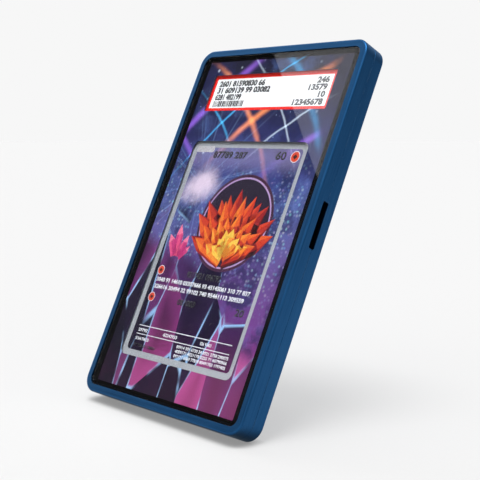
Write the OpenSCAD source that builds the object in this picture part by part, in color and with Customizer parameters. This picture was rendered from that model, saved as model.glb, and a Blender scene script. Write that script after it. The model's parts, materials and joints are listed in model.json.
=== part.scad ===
// Display case for one graded trading card. Two blue shells close round the
// slab with magnets, the front shell carries a clear window and a printed
// surround, and a folding leg on the back holds the case leaned back.

/* [Graded slab] */
// Thickness of the sealed card holder
slab_t = 6.35; // [5:0.05:8]
// Corner radius of the card holder
slab_r = 3; // [2.5:0.1:5]
// Rounding of the holder's outer edges
slab_edge_r = 0.6; // [0.2:0.1:1]
// Chamfer along the welded seam of the holder
seam_chamfer = 0.25; // [0.1:0.05:0.5]
// Clear shell left in front of the card and the label
slab_face_t = 0.5; // [0.4:0.1:1.2]
// Width of the card
card_w = 63; // [60:0.5:66]
// Height of the card
card_h = 88; // [85:0.5:92]
// Thickness of the card
card_t = 0.32; // [0.25:0.01:0.6]
// Corner radius of the card
card_r = 3; // [2:0.1:4]
// Width of the card holder beside the card, on each side
slab_side = 9; // [7:0.1:12]
// Height of the card holder below the card
slab_foot = 12.7; // [8:0.1:16]
// Distance between the card and the label
label_gap = 12.6; // [6:0.1:16]
// Height of the card holder above the label
slab_head = 6.7; // [4:0.1:10]
// Width of the grading label
label_w = 66.4; // [60:0.2:70]
// Height of the grading label
label_h = 16; // [12:0.1:18]
// Thickness of the grading label
label_t = 0.3; // [0.2:0.05:0.5]
// Corner radius of the grading label
label_r = 0.8; // [0.4:0.1:1.5]

/* [Shells] */
// Side wall of both shells
wall_t = 3.9; // [3.5:0.1:5]
// Width of the rim that shows round the window
rim_w = 2.9; // [2.5:0.1:3.2]
// Corner radius of the case
corner_r = 6; // [5.5:0.1:9]
// Rounding of the outer edges, front and back
edge_r = 0.8; // [0.3:0.1:1.2]
// Back wall
back_t = 1.5; // [1.2:0.1:3]
// Height of the parting plane above the back of the case
parting_z = 5; // [4:0.1:6]
// Chamfer along the parting line
parting_chamfer = 0.1; // [0.1:0.05:0.3]
// Thickness of the tongue that lines the shells up
tongue_t = 0.8; // [0.6:0.1:0.9]
// Height of the tongue
tongue_h = 1; // [0.6:0.1:1.5]
// Clearance round the tongue
tongue_clear = 0.1; // [0.05:0.05:0.15]
// Length of the pry slot in the side wall
slot_l = 17; // [10:0.5:20]
// Width of the pry slot
slot_w = 2.6; // [2:0.1:3]
// Corner radius of the pry slot
slot_r = 0.5; // [0.3:0.1:0.9]
// Chamfer round the mouth of the pry slot
slot_chamfer = 0.2; // [0.1:0.05:0.3]
// How far the slot's centre sits above the middle of the case
slot_rise = 3.6; // [-10:0.1:15]
// How far the slot's centre sits in front of the parting plane
slot_ahead = 0.3; // [0:0.1:0.4]

/* [Window and print] */
// Thickness of the clear window
window_t = 1; // [0.8:0.1:1.5]
// How far the window sits below the rim
window_recess = 0.4; // [0.2:0.1:1]
// Clearance between the window and the rim
window_clear = 0.1; // [0.05:0.05:0.2]
// Bevel round the window's face
window_edge_r = 0.15; // [0.1:0.05:0.3]
// Thickness of the black border bonded behind the window
border_t = 0.1; // [0.1:0.05:0.3]
// Width of the black border beside the picture, inside the rim
border_side = 2.95; // [1.5:0.05:4]
// Height of the black border above and below the picture, inside the rim
border_end = 2.1; // [1.5:0.05:4]
// Corner radius of the picture
picture_r = 0.4; // [0.2:0.1:3]
// Thickness of the printed surround
insert_t = 0.3; // [0.2:0.05:0.6]
// How far the print overlaps the edge of the card and of the label
cutout_lap = 0.2; // [0:0.05:0.4]

/* [Magnets] */
// Length of a magnet
magnet_l = 10; // [5:1:14]
// Width of a magnet
magnet_w = 2; // [1:0.1:2.2]
// Thickness of a magnet
magnet_t = 1.5; // [1:0.1:1.8]
// How far each magnet lies below the parting face
magnet_sink = 0.1; // [0.05:0.05:0.3]
// Distance of the side magnets from the middle of the case
side_magnet_y = 45; // [25:1:52]
// Distance of the end magnets from the middle of the case
end_magnet_x = 22; // [10:1:28]

/* [Folding leg] */
// How far the case leans back from upright
lean = 25.5; // [20:0.5:30]
// Height of the hinge above the bottom of the case, along the back
hinge_up = 62; // [56:1:80]
// How far behind the case the foot stands on the floor
foot_back = 37; // [32:1:44]
// Width of the leg at the hinge
leg_w = 20; // [16:1:26]
// Width of the leg at the foot
foot_w = 14; // [10:1:16]
// Thickness of the leg
leg_t = 1.8; // [1.4:0.1:2]
// Length of the leg that keeps its full width
shoulder_l = 12; // [6:1:20]
// Width of the finger hole in the leg
finger_w = 9; // [6:0.5:10]
// Height of the finger hole in the leg
finger_h = 4; // [2:0.5:6]
// Distance of the finger hole from the foot
finger_up = 9; // [6:0.5:16]
// Radius of the rubber foot
foot_r = 1.4; // [1.2:0.1:1.6]
// Rounding of the rubber foot's ends
foot_end_r = 0.6; // [0.2:0.1:0.9]
// Radius of the hinge pin
pin_r = 0.6; // [0.5:0.05:0.7]
// Radius of the leg's hinge barrel
barrel_r = 1.25; // [1.1:0.05:1.3]
// Running clearance of the leg on its pin
pin_run = 0.05; // [0.03:0.01:0.1]
// How deep the pin sits in each cheek
pin_grip = 3.5; // [2:0.1:4]
// Side clearance of the leg between the cheeks
leg_side_clear = 0.2; // [0.1:0.05:0.4]
// Width of each cheek beside the leg
cheek_w = 5.3; // [4.5:0.1:7]
// How far above the bottom of the case the cheeks begin
cheek_start = 12; // [10:1:20]
// How far the cheeks reach above the hinge
cheek_over = 7; // [5:0.5:12]

/* [Hidden] */
$fn = 64;

// Overshoot of a cut past the face it opens
cut = 1;
// Clearance between the slab and the walls round it
slab_clear = 0.2;
// Clearance between the slab and the print in front of it
slab_gap = 0.1;
// Clearance round the card, the label and a bonded magnet
pocket_clear = 0.05;
// Air between the card or the label and the clear shell in front of it
content_gap = 0.05;
// Thickness of the foam pad behind the slab, and its distance from the walls
pad_t = 0.3;
pad_inset = 1.5;

// The card, the label and the margins round them set the size of the slab
slab_w = card_w + 2 * slab_side;
slab_h = slab_foot + card_h + label_gap + label_h + slab_head;
card_y = slab_foot + card_h / 2 - slab_h / 2;
label_y = slab_h / 2 - slab_head - label_h / 2;

// The slab and its clearance set the size of the shells
cavity_w = slab_w + 2 * slab_clear;
cavity_h = slab_h + 2 * slab_clear;
case_w = cavity_w + 2 * wall_t;
case_h = cavity_h + 2 * wall_t;
cavity_r = corner_r - wall_t;
slab_z = back_t + pad_t;
slab_top = slab_z + slab_t;
seam_z = slab_z + slab_t / 2;
print_z = slab_top + slab_gap;
ledge_z = print_z + insert_t;
window_z = ledge_z + border_t;
case_t = window_z + window_t + window_recess;
window_w = case_w - 2 * rim_w - 2 * window_clear;
window_h = case_h - 2 * rim_w - 2 * window_clear;
window_r = corner_r - rim_w - window_clear;
picture_w = case_w - 2 * rim_w - 2 * border_side;
picture_h = case_h - 2 * rim_w - 2 * border_end;

// The magnets stand in the middle of the wall outside the tongue
band_w = wall_t - tongue_t - tongue_clear;
side_magnet_x = case_w / 2 - band_w / 2;
end_magnet_y = case_h / 2 - band_w / 2;

// The barrel turns just clear of the back wall, and the leg lies flush with it
barrel_gap = 0.15;
hinge_z = -barrel_gap - barrel_r;
leg_z = -barrel_r;
leg_mid = leg_z + leg_t / 2;
cheek_t = barrel_gap + 2 * barrel_r;
cheek_edge_r = 0.5;
cheek_r = 3;
cheek_span = leg_w + 2 * leg_side_clear + 2 * cheek_w;

// Both the rounded rear edge and the foot touch the floor of the leaned case
tilt = 90 - lean;
floor_z = edge_r * (sin(tilt) + cos(tilt) - 1);
foot_y = foot_back * cos(tilt) + (floor_z + foot_r) * sin(tilt);
foot_z = -foot_back * sin(tilt) + (floor_z + foot_r) * cos(tilt);
reach_y = foot_y - hinge_up;
reach_z = foot_z - hinge_z;
reach = norm([reach_y, reach_z]);
leg_l = sqrt(reach * reach - leg_mid * leg_mid);
leg_open = atan2(-reach_z, -reach_y) - asin(-leg_mid / reach);

// The heel above the barrel meets the back wall when the leg is fully open
stop_gap = 0.03;
heel_l = (barrel_r + barrel_gap - stop_gap - (leg_z + leg_t) * cos(leg_open)) / sin(leg_open);
heel_swing = norm([heel_l, leg_z]);
heel_clear = 0.2;

// The leaned case is centred over the origin
front_y = edge_r * cos(tilt) - (case_t - edge_r) * sin(tilt) - edge_r;
rear_y = (case_h - edge_r) * cos(tilt) - edge_r * sin(tilt) + edge_r;

module leaned() {
    translate([0, -(front_y + rear_y) / 2, -floor_z])
        rotate([tilt, 0, 0])
        translate([0, case_h / 2, 0])
        children();
}

module rounded_rect(w, h, r) {
    square([w - 2 * r, h], center = true);
    square([w, h - 2 * r], center = true);
    for (x = [-1, 1], y = [-1, 1])
        translate([x * (w / 2 - r), y * (h / 2 - r)]) circle(r);
}

module round_ended(l, w) {
    square([l - w, w], center = true);
    for (x = [-1, 1]) translate([x * (l - w) / 2, 0]) circle(w / 2);
}

// What a fillet takes off an outer corner that points up and to the right
module round_off(r) {
    difference() {
        square(r + cut);
        circle(r);
    }
}

// A profile swept round a rounded rectangle: its x runs outwards from the corner centres
module swept_round(w, h, r) {
    half = [w / 2 - r, h / 2 - r];
    for (i = [0:3])
        rotate([0, 0, 90 * i])
            translate([half[i % 2], half[(i + 1) % 2], 0]) {
                rotate([90, 0, 0]) linear_extrude(2 * half[(i + 1) % 2]) children();
                rotate_extrude(angle = 90) children();
            }
}

// A plate with rounded corners whose upper edge is filleted all round, and its lower edge chamfered
module soft_plate(w, h, r, t, edge, chamfer = 0) {
    swept_round(w, h, r)
        difference() {
            square([r, t]);
            translate([r - edge, t - edge]) round_off(edge);
            if (chamfer > 0) translate([r, 0]) corner_cut(chamfer);
        }
    linear_extrude(t) square([w - 2 * r, h - 2 * r], center = true);
}

// What a chamfer takes off a corner
module corner_cut(size) {
    rotate(45) square(size * sqrt(2), center = true);
}

module rear_profile() {
    difference() {
        union() {
            square([corner_r, back_t]);
            translate([cavity_r, 0]) square([wall_t, parting_z]);
            translate([cavity_r, 0]) square([tongue_t, parting_z + tongue_h]);
        }
        translate([corner_r - edge_r, edge_r]) mirror([0, 1]) round_off(edge_r);
        translate([corner_r, parting_z]) corner_cut(parting_chamfer);
    }
}

module front_profile() {
    groove = tongue_t + tongue_clear;
    difference() {
        translate([cavity_r, parting_z]) square([wall_t, case_t - parting_z]);
        translate([cavity_r - cut, ledge_z]) square([wall_t - rim_w + cut, case_t]);
        translate([cavity_r - cut, parting_z - cut]) square([groove + cut, tongue_h + tongue_clear + cut]);
        translate([corner_r - edge_r, case_t - edge_r]) round_off(edge_r);
        translate([corner_r, parting_z]) corner_cut(parting_chamfer);
    }
}

function magnet_place(i) =
    let (x = i % 2 == 0 ? 1 : -1, y = i % 4 < 2 ? 1 : -1)
    i < 4 ? [x * side_magnet_x, y * side_magnet_y, 90] : [x * end_magnet_x, y * end_magnet_y, 0];

// A magnet's outline at its place in the wall, drawn up from low to high
module magnet_block(i, low, high, clear) {
    place = magnet_place(i);
    translate([place.x, place.y, low])
        rotate([0, 0, place.z])
        linear_extrude(high - low)
        square([magnet_l + 2 * clear, magnet_w + 2 * clear], center = true);
}

rear_magnet_z = parting_z - magnet_sink - magnet_t;
front_magnet_z = parting_z + magnet_sink;

// The magnet pockets of a shell, which open at the parting face
module magnet_pockets(low, high) {
    for (i = [0:7]) magnet_block(i, low, high, pocket_clear);
}

// A slot cut through the right side wall across the parting line
module pry_slot() {
    mouth_r = slot_r + slot_chamfer + cut;
    translate([case_w / 2, slot_rise, parting_z + slot_ahead])
        rotate([90, 0, 90]) {
            translate([0, 0, -wall_t - cut])
                linear_extrude(wall_t + 2 * cut)
                rounded_rect(slot_l, slot_w, slot_r);
            swept_round(slot_l, slot_w, slot_r)
                polygon([[0, cut], [0, -slot_chamfer], [slot_r, -slot_chamfer], [mouth_r, cut]]);
        }
}

module at_hinge() {
    translate([0, hinge_up - case_h / 2, hinge_z]) children();
}

module pin_bore(r, from, to) {
    translate([from, 0, 0]) rotate([0, 90, 0]) cylinder(r = r, h = to - from);
}

pin_half = leg_w / 2 + leg_side_clear + pin_grip;

module cheeks() {
    low = cheek_start - hinge_up;
    span = cheek_over - low;
    pocket_w = leg_w + 2 * leg_side_clear;
    difference() {
        translate([0, (cheek_over + low) / 2, -hinge_z])
            mirror([0, 0, 1])
            soft_plate(cheek_span, span, cheek_r, cheek_t, cheek_edge_r);
        translate([-pocket_w / 2, low - cut, leg_z - cut])
            cube([pocket_w, heel_swing + heel_clear - low + cut, cheek_t + cut]);
    }
}

module rear_shell() {
    color("#1b426b") leaned()
        difference() {
            union() {
                swept_round(case_w, case_h, corner_r) rear_profile();
                linear_extrude(back_t)
                    square([case_w - 2 * corner_r, case_h - 2 * corner_r], center = true);
                at_hinge() cheeks();
            }
            magnet_pockets(rear_magnet_z - pocket_clear, parting_z + cut);
            pry_slot();
            at_hinge() pin_bore(pin_r, -pin_half, cheek_span);
        }
}

module front_shell() {
    color("#1b426b") leaned()
        difference() {
            swept_round(case_w, case_h, corner_r) front_profile();
            magnet_pockets(parting_z - cut, front_magnet_z + magnet_t + pocket_clear);
            pry_slot();
        }
}

module window() {
    color([0.9, 0.95, 1, 0.3]) leaned()
        translate([0, 0, window_z])
        soft_plate(window_w, window_h, window_r, window_t, window_edge_r);
}

module black_border() {
    color("black") leaned()
        translate([0, 0, ledge_z])
        linear_extrude(border_t)
        difference() {
            rounded_rect(window_w, window_h, window_r);
            rounded_rect(picture_w, picture_h, picture_r);
        }
}

module printed_surround() {
    color("rebeccapurple") leaned()
        translate([0, 0, print_z])
        linear_extrude(insert_t)
        difference() {
            rounded_rect(slab_w, slab_h, slab_r);
            card_outline(-cutout_lap);
            label_outline(-cutout_lap);
        }
}

module card_outline(clear) {
    translate([0, card_y])
        rounded_rect(card_w + 2 * clear, card_h + 2 * clear, card_r + clear);
}

module label_outline(clear) {
    translate([0, label_y])
        rounded_rect(label_w + 2 * clear, label_h + 2 * clear, label_r + clear);
}

pocket_z = slab_top - slab_face_t;
content_z = pocket_z - content_gap;

module trading_card() {
    color("silver") leaned()
        translate([0, 0, content_z - card_t]) linear_extrude(card_t) card_outline(0);
}

module grade_label() {
    color("white") leaned()
        translate([0, 0, content_z - label_t]) linear_extrude(label_t) label_outline(0);
}

module slab_front() {
    color([0.9, 0.95, 1, 0.3]) leaned()
        difference() {
            translate([0, 0, seam_z])
                soft_plate(slab_w, slab_h, slab_r, slab_t / 2, slab_edge_r, seam_chamfer);
            translate([0, 0, seam_z - cut]) linear_extrude(pocket_z - seam_z + cut) {
                card_outline(pocket_clear);
                label_outline(pocket_clear);
            }
        }
}

// Two plateaus on the rear half carry the card and the label close behind the front half
module slab_rear() {
    color([0.9, 0.95, 1, 0.3]) leaned() {
        translate([0, 0, seam_z])
            mirror([0, 0, 1])
            soft_plate(slab_w, slab_h, slab_r, slab_t / 2, slab_edge_r, seam_chamfer);
        translate([0, 0, seam_z]) {
            linear_extrude(content_z - card_t - pocket_clear - seam_z) card_outline(-pocket_clear);
            linear_extrude(content_z - label_t - pocket_clear - seam_z) label_outline(-pocket_clear);
        }
    }
}

module back_pad() {
    color("dimgray") leaned()
        translate([0, 0, back_t])
        linear_extrude(pad_t)
        rounded_rect(cavity_w - 2 * pad_inset, cavity_h - 2 * pad_inset, slab_r);
}

module rear_magnet(i) {
    color("gainsboro") leaned() magnet_block(i, rear_magnet_z, rear_magnet_z + magnet_t, 0);
}

module front_magnet(i) {
    color("gainsboro") leaned() magnet_block(i, front_magnet_z, front_magnet_z + magnet_t, 0);
}

module hinge_pin() {
    color("silver") leaned() at_hinge() pin_bore(pin_r, -pin_half, pin_half);
}

module leg_outline() {
    polygon([
        [leg_w / 2, heel_l],
        [leg_w / 2, -shoulder_l],
        [foot_w / 2, -leg_l],
        [-foot_w / 2, -leg_l],
        [-leg_w / 2, -shoulder_l],
        [-leg_w / 2, heel_l],
    ]);
}

module opened() {
    leaned() at_hinge() rotate([leg_open, 0, 0]) children();
}

module folding_leg() {
    color("#1b426b") opened()
        difference() {
            union() {
                translate([0, 0, leg_z]) linear_extrude(leg_t) leg_outline();
                pin_bore(barrel_r, -leg_w / 2, leg_w / 2);
            }
            translate([0, finger_up - leg_l, leg_z - cut])
                linear_extrude(leg_t + 2 * cut)
                round_ended(finger_w, finger_h);
            pin_bore(pin_r + pin_run, -leg_w, leg_w);
        }
}

module foot_bar() {
    rotate([0, 90, 0])
        rotate_extrude()
        difference() {
            translate([0, -foot_w / 2]) square([foot_r, foot_w]);
            for (up = [0, 1])
                mirror([0, up]) translate([foot_r - foot_end_r, foot_w / 2 - foot_end_r]) round_off(foot_end_r);
        }
}

module rubber_foot() {
    color("black") opened()
        difference() {
            translate([0, -leg_l, leg_mid]) foot_bar();
            translate([0, 0, leg_z]) linear_extrude(leg_t) leg_outline();
        }
}

rear_shell();
back_pad();
hinge_pin();
slab_rear();
slab_front();
trading_card();
grade_label();
front_shell();
window();
black_border();
printed_surround();
folding_leg();
rubber_foot();
for (i = [1:8]) rear_magnet(i - 1);
for (i = [1:8]) front_magnet(i - 1);
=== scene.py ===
import json
import math
import random

import bpy
from mathutils import Matrix, Vector


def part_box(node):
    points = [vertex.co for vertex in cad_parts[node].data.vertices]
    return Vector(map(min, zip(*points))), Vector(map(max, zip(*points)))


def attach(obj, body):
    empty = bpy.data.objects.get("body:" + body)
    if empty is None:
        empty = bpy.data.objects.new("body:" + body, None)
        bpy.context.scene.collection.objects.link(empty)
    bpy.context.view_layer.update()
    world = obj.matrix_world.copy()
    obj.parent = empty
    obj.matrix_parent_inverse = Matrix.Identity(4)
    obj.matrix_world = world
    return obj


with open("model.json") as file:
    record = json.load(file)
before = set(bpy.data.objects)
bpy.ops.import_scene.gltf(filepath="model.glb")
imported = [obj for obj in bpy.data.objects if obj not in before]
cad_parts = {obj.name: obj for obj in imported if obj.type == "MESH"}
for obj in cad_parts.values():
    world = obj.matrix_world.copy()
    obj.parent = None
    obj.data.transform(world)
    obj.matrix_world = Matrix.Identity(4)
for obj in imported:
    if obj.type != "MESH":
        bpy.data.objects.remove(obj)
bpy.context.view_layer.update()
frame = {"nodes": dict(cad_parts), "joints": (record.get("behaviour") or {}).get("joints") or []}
nodes = frame["nodes"]

# Lengths of the object are in millimetres, and Blender's are in metres
MM = 0.001
PER_MM = (1 / MM, 1 / MM, 1 / MM)

# Directions of the leaned case: across the face, up the face and out of it
cover_lift = next(joint for joint in frame["joints"] if joint["name"] == "cover_lift")
ACROSS = Vector((1, 0, 0))
OUTWARD = Vector(cover_lift["axis"]).normalized()
UPWARD = OUTWARD.cross(ACROSS)


def reach(node, direction):
    """Lowest and highest reach of a CAD node along a direction, in mm."""
    along = [vertex.co.dot(direction) / MM for vertex in nodes[node].data.vertices]
    return min(along), max(along)


def middle(node, direction):
    low, high = reach(node, direction)
    return (low + high) / 2


def size(node, direction):
    low, high = reach(node, direction)
    return high - low


def front_of(node):
    """Height of a node's front, measured out of the face in mm."""
    return reach(node, OUTWARD)[1]


# The face frame has its origin in the middle of the window
FACE_Y = middle("window", UPWARD)
FACE = Matrix((ACROSS, UPWARD, OUTWARD)).transposed().to_4x4()
FACE.translation = UPWARD * FACE_Y * MM

case_w = size("front_shell", ACROSS)
case_h = size("front_shell", UPWARD)
card_w = size("trading_card", ACROSS)
card_h = size("trading_card", UPWARD)
card_y = middle("trading_card", UPWARD) - FACE_Y
label_w = size("grade_label", ACROSS)
label_h = size("grade_label", UPWARD)
label_y = middle("grade_label", UPWARD) - FACE_Y
print_h = size("printed_surround", UPWARD)

# Camera: the photograph is IMAGE pixels wide and high

IMAGE = 480
SENSOR = 36
CAMERA_LENS = 78.5
CAMERA_PLACE = Vector((0.2877, -0.2533, 0.1023))
CAMERA_AIM = Vector((0.0020, 0.0038, 0.0619))

camera_data = bpy.data.cameras.new("camera")
camera_data.lens = CAMERA_LENS
camera_data.sensor_width = SENSOR
camera = bpy.data.objects.new("camera", camera_data)
camera.location = CAMERA_PLACE
camera.rotation_euler = (CAMERA_AIM - CAMERA_PLACE).to_track_quat("-Z", "Y").to_euler()
bpy.context.scene.collection.objects.link(camera)
bpy.context.scene.camera = camera
bpy.context.view_layer.update()


def camera_ray(x, y):
    """Direction of the camera's ray through a pixel of the photograph."""
    focal = CAMERA_LENS / SENSOR * IMAGE
    ray = Vector((x - IMAGE / 2, IMAGE / 2 - y, -focal))
    return (camera.matrix_world.to_3x3() @ ray).normalized()


# Shader nodes

# Places of the colour sockets of a Mix node
MIX_FACTOR = 0
MIX_FIRST = 6
MIX_SECOND = 7
MIX_RESULT = 2

# The range that most of a noise's values lie in
NOISE_LOW = 0.3
NOISE_HIGH = 0.7


class Painter:
    """Adds shader nodes to one tree and links each as it is made."""

    def __init__(self, tree):
        self.tree = tree

    def feed(self, socket, value):
        if isinstance(value, bpy.types.NodeSocket):
            self.tree.links.new(value, socket)
        else:
            socket.default_value = value

    def set(self, node, **inputs):
        """Feeds inputs by their names, with an underscore for each space."""
        for name, value in inputs.items():
            self.feed(node.inputs[name.replace("_", " ")], value)

    def add(self, kind, settings=None, **inputs):
        node = self.tree.nodes.new("ShaderNode" + kind)
        for name, value in (settings or {}).items():
            setattr(node, name, value)
        self.set(node, **inputs)
        return node

    def operate(self, kind, operation, values):
        node = self.add(kind, {"operation": operation})
        for socket, value in zip(node.inputs, values):
            self.feed(socket, value)
        return node.outputs

    def math(self, operation, *values):
        return self.operate("Math", operation, values)["Value"]

    def vector(self, operation, *values):
        return self.operate("VectorMath", operation, values)["Vector"]

    def length(self, vector):
        return self.operate("VectorMath", "LENGTH", (vector,))["Value"]

    def dot(self, first, second):
        return self.operate("VectorMath", "DOT_PRODUCT", (first, second))["Value"]

    def times(self, first, *others):
        for other in others:
            first = self.math("MULTIPLY", first, other)
        return first

    def plus(self, first, second):
        return self.math("ADD", first, second)

    def minus(self, first, second):
        return self.math("SUBTRACT", first, second)

    def absolute(self, value):
        return self.math("ABSOLUTE", value)

    def split(self, vector):
        return self.add("SeparateXYZ", Vector=vector).outputs

    def join(self, x, y, z):
        return self.add("CombineXYZ", X=x, Y=y, Z=z).outputs["Vector"]

    def mapped(self, vector, **inputs):
        return self.add("Mapping", Vector=vector, **inputs).outputs["Vector"]

    def step(self, value, low, high):
        """Rises smoothly from 0 at low to 1 at high, which may be the smaller of the two."""
        settings = {"interpolation_type": "SMOOTHSTEP"}
        node = self.add("MapRange", settings, Value=value, From_Min=low, From_Max=high)
        return node.outputs["Result"]

    def fit(self, value, low, high, to_low, to_high):
        node = self.add("MapRange", Value=value, From_Min=low, From_Max=high)
        self.set(node, To_Min=to_low, To_Max=to_high)
        return node.outputs["Result"]

    def spread(self, noise, low, high):
        """Spreads the usual range of a noise from low to high."""
        return self.fit(noise, NOISE_LOW, NOISE_HIGH, low, high)

    def mix(self, factor, first, second, blend="MIX"):
        node = self.add("Mix", {"data_type": "RGBA", "blend_type": blend})
        for index, value in ((MIX_FACTOR, factor), (MIX_FIRST, first), (MIX_SECOND, second)):
            if isinstance(value, tuple):
                value = (*value, 1)
            self.feed(node.inputs[index], value)
        return node.outputs[MIX_RESULT]

    def ramp(self, factor, stops):
        """A colour ramp; each stop is a position and a colour."""
        node = self.add("ValToRGB", Fac=factor)
        elements = node.color_ramp.elements
        for element, (position, colour) in zip(elements, (stops[0], stops[-1])):
            element.position = position
            element.color = (*colour, 1)
        for position, colour in stops[1:-1]:
            elements.new(position).color = (*colour, 1)
        return node.outputs["Color"]

    def noise(self, vector, scale, detail=2.0, rough=0.5):
        node = self.add("TexNoise", Vector=vector, Scale=scale, Detail=detail, Roughness=rough)
        return node.outputs

    def patches(self, vector, scale, low, high, detail=2.0, rough=0.5):
        """A noise turned into a mask by a smooth step from low to high."""
        return self.step(self.noise(vector, scale, detail, rough)["Fac"], low, high)

    def cells(self, vector, scale, feature="F1"):
        return self.add("TexVoronoi", {"feature": feature}, Vector=vector, Scale=scale).outputs

    def bump(self, height, strength, depth):
        """A bump of so many mm, weakened by its strength."""
        node = self.add("Bump", Height=height, Strength=strength, Distance=depth * MM)
        return node.outputs["Normal"]

    def openness(self, samples, distance):
        """How open a place is: 1 in the open, near 0 where other faces lie within the distance."""
        return self.add("AmbientOcclusion", {"samples": samples}, Distance=distance).outputs["AO"]

    def group(self, name, **inputs):
        node = self.tree.nodes.new("ShaderNodeGroup")
        node.node_tree = bpy.data.node_groups[name]
        self.set(node, **inputs)
        return node.outputs


def grey(shade):
    return (shade, shade, shade)


def new_group(name, inputs, outputs):
    """Starts a node group; inputs and outputs give each socket's kind by its name."""
    tree = bpy.data.node_groups.new(name, "ShaderNodeTree")
    for key, kind in inputs.items():
        tree.interface.new_socket(key, in_out="INPUT", socket_type="NodeSocket" + kind)
    for key, kind in outputs.items():
        tree.interface.new_socket(key, in_out="OUTPUT", socket_type="NodeSocket" + kind)
    given = tree.nodes.new("NodeGroupInput").outputs
    wanted = tree.nodes.new("NodeGroupOutput").inputs
    return Painter(tree), given, wanted


def new_material(name):
    """Starts a material and gives its painter and its Principled shader."""
    material = bpy.data.materials.new(name)
    material.use_nodes = True
    return material, Painter(material.node_tree), material.node_tree.nodes["Principled BSDF"]


def face_place(paint):
    """Object coordinates as millimetres in the face frame."""
    place = paint.add("TexCoord").outputs["Object"]
    turn = FACE.to_3x3().inverted().to_euler()
    return paint.mapped(place, Location=(0, -FACE_Y, 0), Rotation=turn, Scale=PER_MM)


def metal_place(paint, direction):
    """Millimetres in a frame whose Y runs along a direction square to the case's width."""
    place = paint.add("TexCoord").outputs["Object"]
    turn = -math.atan2(direction.z, direction.y)
    return paint.mapped(place, Rotation=(turn, 0, 0), Scale=PER_MM)


# How far the fine and the broad lines are drawn out along Y
FINE_LINES = (1.0, 0.012, 1.0)
BROAD_LINES = (0.22, 0.004, 0.22)
BROAD_PITCH = 3.0
FINE_SHARE = 0.7
BROAD_SHARE = 0.3


def make_brushed_lines():
    """Fine lines that run along Y, as a value round 0.5."""
    inputs = {"Vector": "Vector", "Pitch": "Float"}
    paint, given, wanted = new_group("brushed_lines", inputs, {"Lines": "Float"})
    fine = paint.vector("MULTIPLY", given["Vector"], FINE_LINES)
    broad = paint.vector("MULTIPLY", given["Vector"], BROAD_LINES)
    fine_lines = paint.noise(fine, given["Pitch"], 2.0)["Fac"]
    broad_lines = paint.noise(broad, BROAD_PITCH, 1.0)["Fac"]
    lines = paint.plus(paint.times(fine_lines, FINE_SHARE), paint.times(broad_lines, BROAD_SHARE))
    paint.feed(wanted["Lines"], lines)


# Cosine between the flat and the rounded normal where wear starts and where it is full
WEAR_START = 0.995
WEAR_FULL = 0.90


def make_edge_wear():
    """Where an edge is rubbed: 0 on a flat face, up to 1 on an edge."""
    inputs = {"Vector": "Vector", "Radius": "Float"}
    paint, given, wanted = new_group("edge_wear", inputs, {"Wear": "Float"})
    rounded = paint.add("Bevel", {"samples": 4}, Radius=given["Radius"]).outputs["Normal"]
    flat = paint.add("NewGeometry").outputs["Normal"]
    edge = paint.step(paint.dot(rounded, flat), WEAR_START, WEAR_FULL)
    rubbed = paint.patches(given["Vector"], 0.35, 0.42, 0.62, 4.0, 0.65)
    paint.feed(wanted["Wear"], paint.times(edge, rubbed))


HAIR_STRETCH = (0.9, 0.05, 0.9)
HAIR_WIDTH = 0.02


def make_handling_marks():
    """Smudges and hair scratches left by handling, each as a mask."""
    outputs = {"Smudge": "Float", "Scratch": "Float"}
    paint, given, wanted = new_group("handling_marks", {"Vector": "Vector"}, outputs)
    smudge = paint.patches(given["Vector"], 0.045, 0.48, 0.72, 5.0, 0.6)
    stretched = paint.vector("MULTIPLY", given["Vector"], HAIR_STRETCH)
    from_hair = paint.cells(stretched, 0.8, "DISTANCE_TO_EDGE")["Distance"]
    hairs = paint.step(from_hair, HAIR_WIDTH, 0.0)
    rare = paint.patches(given["Vector"], 0.12, 0.55, 0.7)
    paint.feed(wanted["Smudge"], smudge)
    paint.feed(wanted["Scratch"], paint.times(hairs, rare))


# The printed night scene, shared by the surround and the card, in mm from the window's middle

NIGHT = (0.006, 0.006, 0.030)
NAVY = (0.012, 0.014, 0.075)
INDIGO = (0.034, 0.042, 0.20)
AZURE = (0.085, 0.12, 0.34)
VIOLET = (0.12, 0.075, 0.27)
PLUM = (0.17, 0.035, 0.22)
MAGENTA = (0.46, 0.05, 0.27)
HAZE = (0.14, 0.26, 0.70)
CYAN = (0.06, 0.55, 1.0)
ORANGE = (1.0, 0.30, 0.05)
LILAC = (0.42, 0.16, 0.95)
PALE = (0.75, 0.90, 1.0)
STAR_BLUE = (0.5, 0.7, 1.0)
SPECK_BLUE = (0.30, 0.22, 0.95)
RAY_BLUE = (0.35, 0.62, 1.0)
BLUSH = (1.0, 0.80, 0.94)

# Colours of the sky from the foot of the print, at 0, to its head, at 1
BANDS = (
    (0.0, MAGENTA), (0.20, PLUM), (0.40, VIOLET), (0.56, AZURE),
    (0.68, INDIGO), (0.80, NAVY), (0.92, NIGHT),
)

# How far clouds push the colours of the sky about, in mm, and how far they bend the trails
DRIFT = (30, 30, 0)
BEND = (0.10, 0.10, 0)

# Each light trail is an arc: its centre, radius and half width in mm, its tint and its strength
TRAILS = (
    ((96, -70), 118, 1.5, CYAN, 0.55),
    ((96, -70), 127, 3.2, LILAC, 0.50),
    ((96, -70), 139, 0.9, PALE, 0.60),
    ((96, -70), 152, 2.8, ORANGE, 0.85),
    ((96, -70), 163, 1.0, CYAN, 0.70),
    ((96, -70), 176, 3.5, LILAC, 0.65),
    ((-98, -46), 104, 2.4, LILAC, 0.55),
    ((-98, -46), 121, 1.0, CYAN, 0.60),
    ((-98, -46), 133, 2.2, ORANGE, 0.75),
    ((-98, -46), 146, 0.8, PALE, 0.55),
    ((-98, -46), 158, 3.0, CYAN, 0.45),
)

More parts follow.
